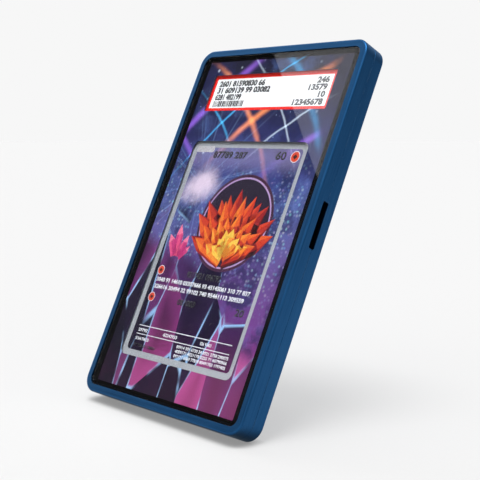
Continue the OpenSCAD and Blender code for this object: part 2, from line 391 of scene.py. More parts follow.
# Lamps in the sky: how closely they are set, their radius as a share of a cell, the
# heights between which they come up, their tint and their strength
LAMPS = (
    (0.16, 0.16, 14, 30, PALE, 1.0),
    (0.42, 0.15, 4, 22, STAR_BLUE, 0.7),
)

GLOW_PLACE = (-20, 15, 0)
GLOW_FLATTEN = (1.0, 1.2, 0)
GLOW_RAGGED = 22
RAYS_ROUND = 7.0

# Colours of the shards, from the darkest to the brightest
SHARDS = (
    (0.0, (0.004, 0.004, 0.010)),
    (0.30, (0.014, 0.008, 0.035)),
    (0.50, (0.075, 0.022, 0.12)),
    (0.75, (0.26, 0.035, 0.18)),
    (1.0, (0.46, 0.10, 0.32)),
)
SHARD_TURN = (0, 0, math.radians(31))
SHARD_STRETCH = (1.0, 0.28, 1.0)
SHARD_PITCH = 0.08
SHARD_SHADOW = (0.004, 0.003, 0.012)
SHARD_BLUSH = (0.50, 0.075, 0.25)
SHARD_EDGE = (0.36, 0.60, 0.92)
SHARD_RISE = 34
FIELD_SLOPE = 0.35


def print_sky(paint, place, drift):
    drifted = paint.vector("ADD", place, drift)
    height = paint.fit(paint.split(drifted)[1], -print_h / 2, print_h / 2, 0, 1)
    haze = paint.patches(drifted, 0.07, 0.50, 0.74, 4.0, 0.6)
    murk = paint.patches(drifted, 0.055, 0.53, 0.38, 5.0, 0.62)
    colour = paint.mix(paint.times(haze, 0.22), paint.ramp(height, BANDS), HAZE)
    return paint.mix(paint.times(murk, 0.70), colour, NAVY)


def print_trails(paint, place, drift, colour):
    """Light trails that fade out below and break up a little along their way."""
    sky = paint.step(paint.split(place)[1], -6, 40)
    lit = paint.times(sky, paint.patches(place, 0.035, 0.34, 0.60, 3.0))
    bent = paint.vector("ADD", place, paint.vector("MULTIPLY", drift, BEND))
    for centre, radius, half, tint, share in TRAILS:
        away = paint.length(paint.vector("SUBTRACT", bent, (*centre, 0)))
        off = paint.absolute(paint.minus(away, radius))
        trail = paint.math("POWER", paint.step(off, half, 0), 1.6)
        colour = paint.mix(paint.times(trail, lit, share), colour, tint, "ADD")
    return colour


def print_lamps(paint, place, colour):
    y = paint.split(place)[1]
    for scale, radius, low, high, tint, share in LAMPS:
        dots = paint.cells(place, scale)
        lamp = paint.step(dots["Distance"], radius, 0.0)
        chosen = paint.step(paint.split(dots["Color"])[0], 0.60, 0.95)
        amount = paint.times(paint.step(y, low, high), share)
        colour = paint.mix(paint.times(lamp, chosen, amount), colour, tint, "ADD")
    return colour


def print_specks(paint, place, colour):
    """A crowd of specks in a belt below the lamps."""
    y = paint.split(place)[1]
    specks = paint.cells(place, 0.75)
    tint = paint.mix(0.5, SPECK_BLUE, specks["Color"])
    round_speck = paint.step(specks["Distance"], 0.65, 0.1)
    chosen = paint.step(paint.split(specks["Color"])[1], 0.35, 0.9)
    belt = paint.times(paint.step(y, -40, -12), paint.step(y, 32, 8))
    amount = paint.times(belt, paint.times(round_speck, chosen), 0.55)
    return paint.mix(amount, colour, tint)


def print_glow(paint, place, cloud, colour):
    """A low glow on the left, with streaks that spread from it."""
    from_glow = paint.vector("SUBTRACT", place, GLOW_PLACE)
    glow_x, glow_y, _ = paint.split(from_glow)
    round_glow = paint.times(paint.math("ARCTAN2", glow_y, glow_x), RAYS_ROUND)
    streaks = paint.patches(paint.join(round_glow, 0.0, 0.0), 1.0, 0.5, 0.8, 3.0, 0.7)
    ragged = paint.times(paint.minus(cloud, 0.5), GLOW_RAGGED)
    far = paint.plus(paint.length(paint.vector("MULTIPLY", from_glow, GLOW_FLATTEN)), ragged)
    core = paint.math("POWER", paint.step(far, 13, 2), 1.5)
    rays = paint.times(paint.step(far, 55, 6), streaks)
    colour = paint.mix(paint.times(rays, 0.55), colour, RAY_BLUE, "ADD")
    return paint.mix(paint.times(core, 0.85), colour, BLUSH)


def shard_colour(paint, y, shade, near):
    """Colour of the shards: darker away from their edges, with a blush on the bright ones below."""
    colour = paint.ramp(shade, SHARDS)
    inner = paint.step(near, 0.0, 0.35)
    colour = paint.mix(paint.times(inner, 0.6), colour, SHARD_SHADOW)
    blush = paint.times(paint.step(y, -34, -64), 0.5, paint.step(shade, 0.25, 0.6))
    return paint.mix(blush, colour, SHARD_BLUSH)


def print_shards(paint, place, colour):
    """Dark shards with pale edges that rise from below, each to its own height."""
    x, y, _ = paint.split(place)
    turned = paint.mapped(place, Rotation=SHARD_TURN, Scale=SHARD_STRETCH)
    shade = paint.split(paint.cells(turned, SHARD_PITCH)["Color"])[0]
    near = paint.cells(turned, SHARD_PITCH, "DISTANCE_TO_EDGE")["Distance"]
    edge = paint.times(paint.step(near, 0.030, 0.006), paint.patches(place, 0.06, 0.40, 0.62))
    slope = paint.plus(y, paint.times(x, FIELD_SLOPE))
    field = paint.step(paint.plus(slope, paint.times(shade, SHARD_RISE)), 2, -6)
    colour = paint.mix(paint.times(field, 0.97), colour, shard_colour(paint, y, shade, near))
    return paint.mix(paint.times(field, edge), colour, SHARD_EDGE)


def make_night_print():
    """A night sky with light trails over a field of dark shards, by the place on the face in mm."""
    paint, given, wanted = new_group("night_print", {"Vector": "Vector"}, {"Color": "Color"})
    place = given["Vector"]
    cloud = paint.noise(place, 0.045, 5.0, 0.62)
    centred = paint.vector("SUBTRACT", cloud["Color"], grey(0.5))
    drift = paint.vector("MULTIPLY", centred, DRIFT)
    colour = print_sky(paint, place, drift)
    colour = print_trails(paint, place, drift, colour)
    colour = print_lamps(paint, place, colour)
    colour = print_specks(paint, place, colour)
    colour = print_glow(paint, place, cloud["Fac"], colour)
    colour = print_shards(paint, place, colour)
    paint.feed(wanted["Color"], colour)


for make in (make_brushed_lines, make_edge_wear, make_handling_marks, make_night_print):
    make()

# Materials

BLUE_LOW = (0.009, 0.056, 0.155)
BLUE_HIGH = (0.023, 0.106, 0.258)
BLUE_WORN = (0.10, 0.20, 0.33)
BLUE_PAINTED_SHADE = (0.005, 0.024, 0.062)
BLUE_GLANCE = (0.75, 0.88, 1.0, 1.0)
WEAR_RADIUS = 0.45

# Painted shade: the metal's colour darkens where the floor or another piece is within so many mm
FLOOR_NEAR = 13.0


def mitred(paint, place):
    """The place on the frame with X and Y swapped on its end rails, so that Y runs along each rail."""
    x, y, z = paint.split(place)
    from_side = paint.minus(case_w / 2, paint.absolute(x))
    from_end = paint.minus(case_h / 2, paint.absolute(y))
    end_rail = paint.math("LESS_THAN", from_end, from_side)
    return paint.mix(end_rail, place, paint.join(y, x, z))


def anodised_blue(name, place_of, framed):
    """Satin blue anodised metal with fine lines; on a frame they turn at the mitres. Its colour
    darkens with painted shade near the floor and other pieces.
    """
    material, paint, shader = new_material(name)
    place = place_of(paint)
    along = mitred(paint, place) if framed else place
    lines = paint.group("brushed_lines", Vector=along, Pitch=5.0)["Lines"]
    wear = paint.group("edge_wear", Vector=place, Radius=WEAR_RADIUS * MM)["Wear"]
    smudge = paint.group("handling_marks", Vector=place)["Smudge"]
    cloud = paint.noise(place, 0.03, 3.0)["Fac"]
    tone = paint.plus(paint.times(lines, 0.65), paint.times(cloud, 0.35))
    colour = paint.mix(paint.spread(tone, 0, 1), BLUE_LOW, BLUE_HIGH)
    colour = paint.mix(paint.times(wear, 0.35), colour, BLUE_WORN)
    # Painted shade: the base colour turns a darker blue where the floor or another piece is near
    shaded = paint.step(paint.openness(8, FLOOR_NEAR * MM), 0.88, 0.30)
    colour = paint.mix(shaded, colour, BLUE_PAINTED_SHADE)
    rough = paint.plus(paint.spread(lines, 0.34, 0.44), paint.times(smudge, 0.06))
    paint.set(shader, Base_Color=colour, Roughness=rough, Normal=paint.bump(lines, 0.22, 0.02))
    paint.set(shader, Metallic=1.0, Specular_Tint=BLUE_GLANCE)
    return material


# Colours of the foam from the middle of a pore, at 0, to its rim, at 1; the darker middle is painted
# shade in each sunken pore
FOAM = (
    (0.0, (0.004, 0.004, 0.005)),
    (0.35, (0.018, 0.018, 0.020)),
    (1.0, (0.03, 0.03, 0.032)),
)


def black_foam():
    material, paint, shader = new_material("black_foam")
    pores = paint.cells(face_place(paint), 1.4)["Distance"]
    paint.set(shader, Base_Color=paint.ramp(pores, FOAM), Normal=paint.bump(pores, 0.6, 0.15))
    paint.set(shader, Roughness=0.92)
    return material


def drawn_steel():
    material, paint, shader = new_material("drawn_steel")
    x, y, z = paint.split(metal_place(paint, UPWARD))
    lines = paint.group("brushed_lines", Vector=paint.join(y, x, z), Pitch=9.0)["Lines"]
    colour = paint.mix(lines, (0.42, 0.43, 0.45), (0.66, 0.67, 0.69))
    paint.set(shader, Base_Color=colour, Roughness=paint.spread(lines, 0.24, 0.40))
    paint.set(shader, Normal=paint.bump(lines, 0.2, 0.01), Metallic=1.0)
    return material


def nickel_plate():
    material, paint, shader = new_material("nickel_plate")
    place = face_place(paint)
    grain = paint.noise(place, 2.2, 4.0, 0.7)["Fac"]
    pits = paint.step(paint.cells(place, 0.9)["Distance"], 0.12, 0.02)
    colour = paint.mix(grain, (0.50, 0.49, 0.47), (0.74, 0.73, 0.70))
    colour = paint.mix(paint.times(pits, 0.5), colour, (0.20, 0.19, 0.18))
    paint.set(shader, Base_Color=colour, Roughness=paint.spread(grain, 0.16, 0.34))
    paint.set(shader, Normal=paint.bump(grain, 0.15, 0.02), Metallic=1.0)
    return material


PLASTIC_CLEAR = (0.99, 0.995, 1.0)
PLASTIC_IOR = 1.49
SHADOW_TINT = (0.96, 0.97, 0.98, 1)
EDGE_INK = grey(0.01)

# The frosted weld of the slab: from its middle to where it starts and is full, and its roughness
WELD_START = 0.34
WELD_FULL = 0.24
WELD_ROUGH = 0.32


def frosted_weld(paint, place, rough, seam):
    from_seam = paint.absolute(paint.minus(paint.split(place)[2], seam))
    weld = paint.step(from_seam, WELD_START, WELD_FULL)
    return paint.plus(rough, paint.times(weld, WELD_ROUGH))


def inked_edges(paint, colour):
    """Dark ink on the sides of a clear panel, and none on its front and back."""
    normal = paint.add("TexCoord").outputs["Normal"]
    facing = paint.absolute(paint.dot(normal, tuple(OUTWARD)))
    return paint.mix(paint.step(facing, 0.97, 0.90), colour, EDGE_INK)


def let_lamps_through(paint, shader):
    """Makes a clear material cast only a faint shadow."""
    through = paint.add("BsdfTransparent", Color=SHADOW_TINT).outputs[0]
    mixed = paint.add("MixShader")
    shadow_ray = paint.add("LightPath").outputs["Is Shadow Ray"]
    for socket, value in zip(mixed.inputs, (shadow_ray, shader.outputs[0], through)):
        paint.feed(socket, value)
    paint.set(paint.tree.nodes["Material Output"], Surface=mixed.outputs[0])


def clear_plastic(name, tint, seam):
    """Clear plastic; seam is the height of a frosted weld, or None for inked edges."""
    material, paint, shader = new_material(name)
    place = face_place(paint)
    marks = paint.group("handling_marks", Vector=place)
    rough = paint.plus(paint.times(marks["Smudge"], 0.012), paint.times(marks["Scratch"], 0.10))
    ripple = paint.noise(place, 0.02, 1.0)["Fac"]
    colour = paint.mix(ripple, tint, PLASTIC_CLEAR)
    if seam is None:
        colour = inked_edges(paint, colour)
    else:
        rough = frosted_weld(paint, place, rough, seam)
    paint.set(shader, Base_Color=colour, Roughness=rough, Normal=paint.bump(ripple, 0.05, 0.05))
    paint.set(shader, IOR=PLASTIC_IOR, Transmission_Weight=1.0)
    let_lamps_through(paint, shader)
    return material


def border_ink():
    material, paint, shader = new_material("border_ink")
    place = face_place(paint)
    grain = paint.noise(place, 4.0, 3.0)["Fac"]
    uneven = paint.times(grain, paint.noise(place, 0.08, 2.0)["Fac"])
    colour = paint.mix(uneven, (0.0035, 0.0035, 0.004), (0.012, 0.012, 0.013))
    paint.set(shader, Base_Color=colour, Roughness=paint.spread(grain, 0.34, 0.5))
    paint.set(shader, Specular_IOR_Level=0.0)
    return material


def paper_grain(paint, place, shader, rough_low, rough_high):
    """Gives a printed sheet its fine tooth."""
    tooth = paint.noise(place, 3.0, 4.0, 0.6)["Fac"]
    paint.set(shader, Roughness=paint.spread(tooth, rough_low, rough_high))
    paint.set(shader, Normal=paint.bump(tooth, 0.10, 0.02), Specular_IOR_Level=0.15)
    return tooth


def printed_side(paint):
    """1 on the front of a sheet, 0 on its cut edges and its back."""
    normal = paint.add("TexCoord").outputs["Normal"]
    return paint.step(paint.dot(normal, tuple(OUTWARD)), 0.4, 0.6)


def sunk_in(paint, tooth, colour):
    """A printed colour, dulled a little where it sinks into the tooth of its sheet."""
    return paint.mix(paint.spread(tooth, 0.06, 0.20), colour, grey(0.0))


def surround_print():
    material, paint, shader = new_material("surround_print")
    place = face_place(paint)
    tooth = paper_grain(paint, place, shader, 0.38, 0.50)
    colour = sunk_in(paint, tooth, paint.group("night_print", Vector=place)["Color"])
    core = paint.mix(tooth, (0.05, 0.05, 0.09), (0.09, 0.09, 0.14))
    paint.set(shader, Base_Color=paint.mix(printed_side(paint), core, colour))
    return material


def border_inset(paint, x, y, width, height, border, radius):
    """Distance in from a sheet's border, in mm: below 0 on the border and above 0 within it."""
    inner_w = width - 2 * border
    inner_h = height - 2 * border
    past_x = paint.minus(paint.absolute(x), inner_w / 2 - radius)
    past_y = paint.minus(paint.absolute(y), inner_h / 2 - radius)
    corner_x = paint.math("MAXIMUM", past_x, 0.0)
    corner_y = paint.math("MAXIMUM", past_y, 0.0)
    squares = paint.plus(paint.times(corner_x, corner_x), paint.times(corner_y, corner_y))
    inner = paint.math("MINIMUM", paint.math("MAXIMUM", past_x, past_y), 0.0)
    return paint.minus(radius, paint.plus(paint.math("SQRT", squares), inner))


CARD_BORDER = 2.6
CARD_BORDER_RADIUS = 1.6
FOIL_STRETCH = (0.5, 0.05, 1.0)

# A pale band behind the card's heading: its colour, its strength and how far below the
# card's top it starts and is full
HEADING = (0.42, 0.36, 0.62)
HEADING_SHARE = 0.42
HEADING_START = 15
HEADING_FULL = 6


def card_print():
    material, paint, shader = new_material("card_print")
    place = face_place(paint)
    tooth = paper_grain(paint, place, shader, 0.24, 0.36)
    x, y, _ = paint.split(place)
    own_y = paint.minus(y, card_y)
    inset = border_inset(paint, x, own_y, card_w, card_h, CARD_BORDER, CARD_BORDER_RADIUS)
    picture = paint.group("night_print", Vector=place)["Color"]
    heading = paint.step(own_y, card_h / 2 - HEADING_START, card_h / 2 - HEADING_FULL)
    picture = paint.mix(paint.times(heading, HEADING_SHARE), picture, HEADING)
    foil = paint.noise(paint.vector("MULTIPLY", place, FOIL_STRETCH), 0.8, 3.0)["Fac"]
    border = paint.mix(foil, (0.38, 0.39, 0.41), (0.54, 0.55, 0.57))
    colour = sunk_in(paint, tooth, paint.mix(paint.step(inset, -0.05, 0.05), border, picture))
    back = paint.mix(tooth, (0.020, 0.030, 0.110), (0.035, 0.050, 0.160))
    paint.set(shader, Base_Color=paint.mix(printed_side(paint), back, colour))
    return material


LABEL_BORDER = 1.7
LABEL_BORDER_RADIUS = 0.3

# Painted light: the label glows by this much, standing in for light that the clear holder scatters
# onto it, where the sheet round it would shade it
LABEL_PAINTED_GLOW = 0.22


def label_paper():
    material, paint, shader = new_material("label_paper")
    place = face_place(paint)
    tooth = paper_grain(paint, place, shader, 0.45, 0.60)
    x, y, _ = paint.split(place)
    own_y = paint.minus(y, label_y)
    inset = border_inset(paint, x, own_y, label_w, label_h, LABEL_BORDER, LABEL_BORDER_RADIUS)
    white = paint.mix(tooth, grey(0.84), grey(0.94))
    red = paint.mix(tooth, (0.74, 0.010, 0.004), (0.86, 0.018, 0.007))
    colour = paint.mix(paint.step(inset, -0.04, 0.04), red, white)
    # Painted light: the label gives off a glow of its own colour, though it is no lamp
    paint.set(shader, Base_Color=colour, Emission_Color=colour, Emission_Strength=LABEL_PAINTED_GLOW)
    return material


def foot_rubber():
    material, paint, shader = new_material("foot_rubber")
    grain = paint.noise(metal_place(paint, UPWARD), 1.6, 4.0, 0.7)["Fac"]
    colour = paint.mix(grain, (0.010, 0.010, 0.011), (0.032, 0.032, 0.034))
    paint.set(shader, Base_Color=colour, Roughness=paint.spread(grain, 0.62, 0.82))
    paint.set(shader, Normal=paint.bump(grain, 0.4, 0.06))
    return material


def ink(name, colour, worn):
    """Printing ink with a slightly uneven lay."""
    material, paint, shader = new_material(name)
    grain = paint.noise(face_place(paint), 3.5, 3.0, 0.6)["Fac"]
    paint.set(shader, Base_Color=paint.mix(grain, colour, worn))
    paint.set(shader, Roughness=paint.spread(grain, 0.34, 0.5))
    return material


def tinted_ink(name):
    """Printing ink that takes its colours from the piece's own attribute."""
    material, paint, shader = new_material(name)
    own = paint.add("Attribute", {"attribute_name": "ink"}).outputs["Color"]
    grain = paint.noise(face_place(paint), 1.2, 4.0, 0.65)["Fac"]
    shaded = paint.mix(paint.spread(grain, 0.0, 0.35), own, (0.35, 0.03, 0.03), "MULTIPLY")
    paint.set(shader, Base_Color=shaded, Roughness=paint.spread(grain, 0.26, 0.38))
    return material


def dress(node, material):
    """Gives a CAD node its material in every slot that it has."""
    slots = nodes[node].material_slots
    if not slots:
        nodes[node].data.materials.append(material)
    for slot in slots:
        slot.material = material


foot_centre = (sum(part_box("rubber_foot"), Vector())) / 2
pin_centre = (sum(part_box("hinge_pin"), Vector())) / 2
LEG_DOWN = (foot_centre - pin_centre).normalized()
seam_height = reach("slab_front", OUTWARD)[0]

case_blue = anodised_blue("case_blue", face_place, True)
leg_blue = anodised_blue("leg_blue", lambda paint: metal_place(paint, LEG_DOWN), False)
slab_clear = clear_plastic("slab_clear", (0.955, 0.97, 0.98), seam_height)
window_clear = clear_plastic("window_clear", (0.98, 0.985, 0.99), None)
nickel = nickel_plate()

dress("rear_shell", case_blue)
dress("front_shell", case_blue)
dress("folding_leg", leg_blue)
dress("back_pad", black_foam())
dress("hinge_pin", drawn_steel())
dress("slab_rear", slab_clear)
dress("slab_front", slab_clear)
dress("window", window_clear)
dress("black_border", border_ink())
dress("printed_surround", surround_print())
dress("trading_card", card_print())
dress("grade_label", label_paper())
dress("rubber_foot", foot_rubber())
for node in nodes:
    if "magnet" in node:
        dress(node, nickel)

# Printed pieces: plates of ink, drawn flat and then laid on the face. INK is their
# thickness and LAYER the step from one layer to the next, in mm.

INK = 0.012
LAYER = 0.004

# A digit's height as a share of the font's size, and how much wider than the font it is
DIGIT_SHARE = 0.73
DIGIT_WIDTH = 1.22

# The room that a character takes in a row, as a share of its height
CHARACTER_ROOM = 0.76


def deselect():
    bpy.ops.object.select_all(action="DESELECT")


def flat_plate(x, y, width, height, corner):
    """A flat plate centred at x, y; corner is the radius of its corners."""
    deselect()
    bpy.ops.mesh.primitive_plane_add(size=MM, location=(x * MM, y * MM, 0))
    plate = bpy.context.object
    plate.scale = (width, height, 1)
    bpy.ops.object.transform_apply(location=True, rotation=True, scale=True)
    if corner > 0:
        bpy.ops.object.mode_set(mode="EDIT")
        bpy.ops.mesh.select_all(action="SELECT")
        bpy.ops.mesh.bevel(offset=corner * MM, segments=4, affect="VERTICES")
        bpy.ops.object.mode_set(mode="OBJECT")
    return plate


def flat_disc(x, y, radius, sides):
    deselect()
    spot = (x * MM, y * MM, 0)
    bpy.ops.mesh.primitive_circle_add(
        vertices=sides, radius=radius * MM, fill_type="NGON", location=spot
    )
    bpy.ops.object.transform_apply(location=True, rotation=True, scale=True)
    return bpy.context.object


def copy_of(piece, matrix):
    """A copy with its own mesh, moved by a matrix in the flat drawing."""
    copy = piece.copy()
    copy.data = piece.data.copy()
    copy.data.transform(matrix)
    bpy.context.scene.collection.objects.link(copy)
    return copy


def in_place(x, y, turn=0.0, wide=1.0, tall=1.0):
    spot = Matrix.Translation((x * MM, y * MM, 0))
    return spot @ Matrix.Rotation(turn, 4, "Z") @ Matrix.Diagonal((wide, tall, 1, 1))


def lift(piece, layers):
    piece.data.transform(Matrix.Translation((0, 0, layers * LAYER * MM)))
    return piece


def flat_digits(text, x, y, height, align, bold):
    """Plain digits whose foot is at y; bold thickens them by that many mm on each side."""
    deselect()
    bpy.ops.object.text_add(location=(0, 0, 0))
    digits = bpy.context.object
    digits.data.body = text
    digits.data.size = height * MM / DIGIT_SHARE
    digits.data.offset = bold * MM
    digits.data.align_x = align
    digits.data.resolution_u = 3
    bpy.ops.object.convert(target="MESH")
    digits = bpy.context.object
    digits.data.transform(in_place(x, y, 0.0, DIGIT_WIDTH, 1.0))
    return digits


def digit_row(x, y, length, height, bold, draw):
    """A line of digits in place of words, from x to x + length."""
    words = ""
    while len(words) < round(length / (CHARACTER_ROOM * height)):
        words += "".join(draw.choice("0123456789") for _ in range(draw.randint(2, 8))) + " "
    row = flat_digits(words.strip(), 0, 0, height, "LEFT", bold)
    drawn = max(vertex.co.x for vertex in row.data.vertices) / MM
    row.data.transform(in_place(x, y, 0.0, length / drawn, 1.0))
    return row


def join_flat(name, parts):
    deselect()
    for part in parts:
        part.select_set(True)
    bpy.context.view_layer.objects.active = parts[0]
    bpy.ops.object.join()
    piece = bpy.context.object
    piece.name = name
    piece.data.name = name
    return piece


def lay_print(name, parts, height, body, material):
    """Joins flat parts, makes them as thick as ink and lays them on the face at a height in mm."""
    piece = join_flat(name, parts)
    thick = piece.modifiers.new("ink", "SOLIDIFY")
    thick.thickness = INK * MM
    thick.offset = 1.0
    bpy.ops.object.modifier_apply(modifier=thick.name)
    piece.data.transform(FACE @ Matrix.Translation((0, 0, height * MM)))
    piece.data.materials.clear()
    piece.data.materials.append(material)
    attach(piece, body)
    return piece


black_ink = ink("black_ink", (0.006, 0.006, 0.008), (0.020, 0.020, 0.024))
white_ink = ink("white_ink", (0.72, 0.72, 0.74), (0.90, 0.90, 0.92))
colour_ink = tinted_ink("colour_ink")

label_front = front_of("grade_label")
card_front = front_of("trading_card")

# The label's four lines: the height of their feet above its middle, the lengths of the
# first three on the left, and the numbers on the right. Bars take the fourth on the left.
LABEL_DIGIT = 2.35
LABEL_BOLD = 0.17
LABEL_LEFT = 3.6
LABEL_RIGHT = 3.4
LABEL_LINES = (3.1, 0.2, -2.7, -5.7)
LABEL_LENGTHS = (26, 30, 15)
LABEL_NUMBERS = ("246", "13579", "10", "12345678")
BARS_LONG = 17
BARS_TALL = 2.5
BARS_MIDDLE = 1.2
BAR_WIDTHS = (0.30, 0.30, 0.55, 0.80)
BAR_GAPS = (0.22, 0.22, 0.40)


def label_bars(left, foot, draw):
    block = flat_plate(0, 0, 1, 1, 0)
    bars = []
    x = left
    while x < left + BARS_LONG:
        bar = draw.choice(BAR_WIDTHS)
        spot = in_place(x + bar / 2, foot + BARS_MIDDLE, 0.0, bar, BARS_TALL)
        bars.append(copy_of(block, spot))
        x += bar + draw.choice(BAR_GAPS)
    bpy.data.objects.remove(block)
    return bars


def label_text():
    draw = random.Random(7)
    left = -label_w / 2 + LABEL_LEFT
    right = label_w / 2 - LABEL_RIGHT
    lines = [label_y + line for line in LABEL_LINES]
    parts = []
    for y, length in zip(lines, LABEL_LENGTHS):
        parts.append(digit_row(left, y, length, LABEL_DIGIT, LABEL_BOLD, draw))
    for y, text in zip(lines, LABEL_NUMBERS):
        parts.append(flat_digits(text, right, y, LABEL_DIGIT, "RIGHT", LABEL_BOLD))
    parts += label_bars(left, lines[3], draw)
    lay_print("label_print", parts, label_front + LAYER, "slab", black_ink)


RULE = 0.28


def card_text():
    """The card's lines: x, foot, length or text, height of the digits and their bold, in mm."""
    draw = random.Random(11)
    left = -card_w / 2 + 5.6
    right = card_w / 2 - 5.0
    width = right - left
    top = card_y + card_h / 2
    low = card_y - card_h / 2
    black = [
        digit_row(left + 7.5, top - 6.8, 19, 2.7, 0.16, draw),
        flat_digits("60", right - 5.4, top - 6.8, 3.2, "RIGHT", 0.14),
        flat_digits("20", right, low + 22.4, 2.6, "RIGHT", 0.12),
        digit_row(-9.5, low + 33.2, 19, 2.3, 0.12, draw),
        digit_row(-9.5, low + 22.4, 10, 2.3, 0.12, draw),
        digit_row(left, low + 4.0, 13, 1.2, 0.06, draw),
    ]
    white = [
        digit_row(left, low + 30.0, width, 1.6, 0.09, draw),
        digit_row(left, low + 27.2, width - 2, 1.6, 0.09, draw),
        flat_plate(0, low + 12.2, width, RULE, 0),
        flat_plate(0, low + 8.9, width, RULE, 0),
        digit_row(left, low + 9.9, 5.5, 1.2, 0.05, draw),
        digit_row(left + 15, low + 9.9, 8, 1.2, 0.05, draw),
        digit_row(left + 36, low + 9.9, 6, 1.2, 0.05, draw),
        digit_row(left, low + 6.6, 8, 1.2, 0.05, draw),
    ]
    for y in (low + 6.9, low + 5.2, low + 3.5):
        white.append(digit_row(-1.5, y, right + 1.5, 1.15, 0.05, draw))
    height = card_front + 3 * LAYER
    lay_print("card_print_black", black, height, "slab", black_ink)
    lay_print("card_print_white", white, height, "slab", white_ink)


# Colours of the flame from maroon to yellow
FLAME = (
    (0.030, 0.003, 0.010),
    (0.36, 0.008, 0.012),
    (0.80, 0.060, 0.012),
    (1.0, 0.26, 0.020),
    (1.0, 0.66, 0.08),
)
HOTTEST = 0.999


def flame(heat):
    """Colour of the flame from its first, at 0, to its last, at 1."""
    place = min(max(heat, 0.0), HOTTEST) * (len(FLAME) - 1)
    step = int(place)
    share = place - step
    return tuple(low + (high - low) * share for low, high in zip(FLAME[step], FLAME[step + 1]))


def tint_faces(piece, colours):
    """Gives each face its own of the colours."""
    layer = piece.data.color_attributes.new("ink", "FLOAT_COLOR", "CORNER")
    for face, colour in zip(piece.data.polygons, colours):
        for corner in face.loop_indices:
            layer.data[corner].color = (*colour, 1)
    return piece


def tint(piece, colour):
    return tint_faces(piece, [colour] * len(piece.data.polygons))


def select_vertices(piece, wanted):
    """Selects the vertices for which wanted says yes, in edit mode."""
    bpy.ops.object.mode_set(mode="OBJECT")
    for group in (piece.data.vertices, piece.data.edges, piece.data.polygons):
        group.foreach_set("select", [False] * len(group))
    for vertex in piece.data.vertices:
        vertex.select = wanted(vertex.co)
    bpy.ops.object.mode_set(mode="EDIT")
    bpy.ops.mesh.select_mode(type="VERT")
    bpy.ops.mesh.select_mode(type="EDGE")


def extrude(x, y):
    """Extrudes what is selected by so many mm."""
    bpy.ops.mesh.extrude_region_move(TRANSFORM_OT_translate={"value": (x * MM, y * MM, 0)})


# Length in mm of the crystal that is copied
CRYSTAL_LONG = 3.0


def flat_crystal():
    """A crystal 1 mm wide and 3 mm tall: three long facets and three that meet in its tip."""
    piece = flat_plate(-0.33, 1.0, 0.34, 2.0, 0)
    select_vertices(piece, lambda spot: spot.x > -0.3 * MM)
    extrude(0.42, 0.14)
    extrude(0.24, -0.22)
    select_vertices(piece, lambda spot: spot.y > MM)
    extrude(0, 0.5)
    tip = (-0.06 * MM, CRYSTAL_LONG * MM, 0)
    bpy.ops.transform.resize(value=(0, 0, 0), center_override=tip)
    bpy.ops.mesh.select_all(action="SELECT")
    bpy.ops.mesh.remove_doubles(threshold=0.01 * MM)
    bpy.ops.mesh.normals_make_consistent(inside=False)
    bpy.ops.object.mode_set(mode="OBJECT")
    return piece


# The emblem's middle on the face and its radius, and the share of the radius and the
# colour of each of its rings
EMBLEM_CENTRE = (6.0, 0.6)
EMBLEM_RADIUS = 19.0
EMBLEM_RINGS = (
    (1.0, (0.060, 0.012, 0.045)),
    (0.94, (0.52, 0.36, 0.66)),
    (0.905, (0.016, 0.008, 0.030)),
)

# Rows of the burst from the back to the front: how many crystals, how long and wide
# they are in mm, how hot their colour is, and how far their foot sits above the first row's
BURST = (
    (11, 32, 7.4, 0.12, 0.0),
    (10, 25, 6.8, 0.30, 0.0),
    (8, 18, 5.8, 0.48, 0.6),
    (6, 11, 4.6, 0.84, 1.4),
)
BURST_DROP = 14.5
BURST_FAN = 72
SIDE_SHORTER = 0.26
TIP_HEAT = 0.20
SIDE_HEAT = 0.62

# A cluster of rosy crystals beside the ring: place of the foot, turn, width and length
ROSY = (
    (-21.0, -14.5, 34, 3.4, 10.0),
    (-20.2, -14.8, 8, 3.8, 13.0),
    (-19.0, -15.0, -20, 3.2, 9.5),
    (-18.2, -15.2, -46, 2.6, 7.0),
)
ROSY_TINTS = ((0.85, 0.09, 0.26), (0.62, 0.04, 0.22), (1.0, 0.24, 0.40))

# The discs of a round mark: the share of its radius, their sides and their colours
MARK = (
    (1.0, 32, (0.80, 0.80, 0.84)),
    (0.86, 32, (0.80, 0.06, 0.01)),
    (0.46, 4, (0.03, 0.004, 0.008)),
)
TAG_COLOUR = (0.60, 0.60, 0.63)

# Layers of the emblem's piece: the burst, the cluster, the marks and the tag start on this one
UPPER_LAYER = 3


def crystal_burst(crystal, foot, draw):
    """Copies of a crystal that fan out from a foot, row over row."""
    tall = [face.center.y for face in crystal.data.polygons]
    aside = [face.center.x for face in crystal.data.polygons]
    parts = []
    for row, (count, long, wide, heat, base) in enumerate(BURST):
        for index in range(count):
            slant = -BURST_FAN + 2 * BURST_FAN * (index + 0.5) / count
            turn = math.radians(slant + draw.uniform(-4, 4))
            shorter = 1.0 - SIDE_SHORTER * abs(math.sin(turn))
            stretch = long / CRYSTAL_LONG * draw.uniform(0.84, 1.06) * shorter
            wider = wide * draw.uniform(0.85, 1.1)
            spot = in_place(foot[0], foot[1] + base, turn, wider, stretch)
            warm = heat + draw.uniform(-0.10, 0.12)
            colours = [
                flame(warm + TIP_HEAT * (up > 2 * MM) - SIDE_HEAT * (side / MM))
                for up, side in zip(tall, aside)
            ]
            parts.append(lift(tint_faces(copy_of(crystal, spot), colours), UPPER_LAYER + row))
    return parts


def rosy_cluster(crystal, draw):
    parts = []
    for x, y, turn, wide, long in ROSY:
        spot = in_place(x, y, math.radians(turn), wide, long / CRYSTAL_LONG)
        piece = copy_of(crystal, spot)
        shades = [draw.choice(ROSY_TINTS) for _ in piece.data.polygons]
        parts.append(lift(tint_faces(piece, shades), UPPER_LAYER))
    return parts


def round_mark(x, y, radius):
    parts = []
    for layer, (share, sides, colour) in enumerate(MARK):
        disc = flat_disc(x, y, share * radius, sides)
        parts.append(lift(tint(disc, colour), UPPER_LAYER + layer))
    return parts


